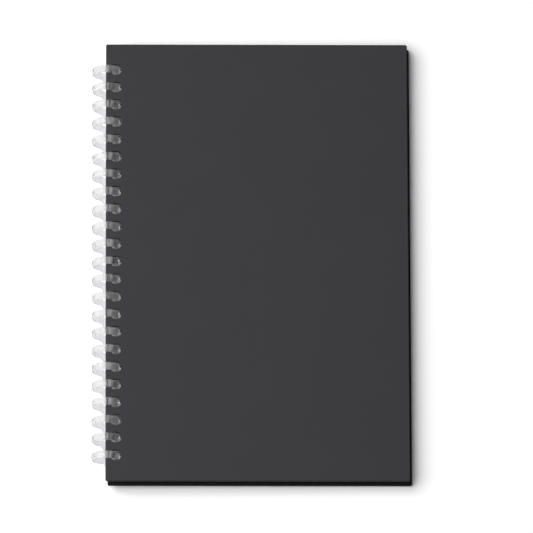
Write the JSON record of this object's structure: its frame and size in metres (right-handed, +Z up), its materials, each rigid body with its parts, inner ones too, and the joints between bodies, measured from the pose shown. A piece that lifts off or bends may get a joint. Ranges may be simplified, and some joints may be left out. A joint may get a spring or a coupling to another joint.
{
  "type": "spiral notebook",
  "caption": "Closed spiral notebook: wrapped board covers, one block of pages and a flat translucent plastic coil threaded through a row of punched holes along the spine.",
  "frame": {"origin": "under the middle of the closed notebook, in the plane that the lowest point of the coil touches", "axes": "+X from the spine to the fore edge, +Y from the tail to the head, +Z up through the front cover"},
  "size_m": [0.1474, 0.2116, 0.0134],
  "materials": {
    "cover_paper": "matt laminated charcoal cover paper",
    "core_board": "dyed black board, punched edges",
    "lining_paper": "uncoated black lining paper",
    "page_paper": "uncoated off-white writing paper",
    "coil_plastic": "soft translucent frosted plastic"
  },
  "bodies": {
    "back_cover": {"back_wrap": "cover_paper", "back_board": "core_board", "back_lining": "lining_paper", "coil": "coil_plastic"},
    "pages": {"page_block": "page_paper"},
    "front_cover": {"front_wrap": "cover_paper", "front_board": "core_board", "front_lining": "lining_paper"}
  },
  "joints": [
    {"name": "back_cover_hinge", "type": "hinge", "parent": "back_cover", "child": "pages", "pos_m": [-0.06705, 0, 0.0067], "axis": [0, -1, 0], "range_deg": [0, 180]},
    {"name": "front_cover_hinge", "type": "hinge", "parent": "pages", "child": "front_cover", "pos_m": [-0.06705, 0, 0.0067], "axis": [0, -1, 0], "range_deg": [0, 180]}
  ]
}
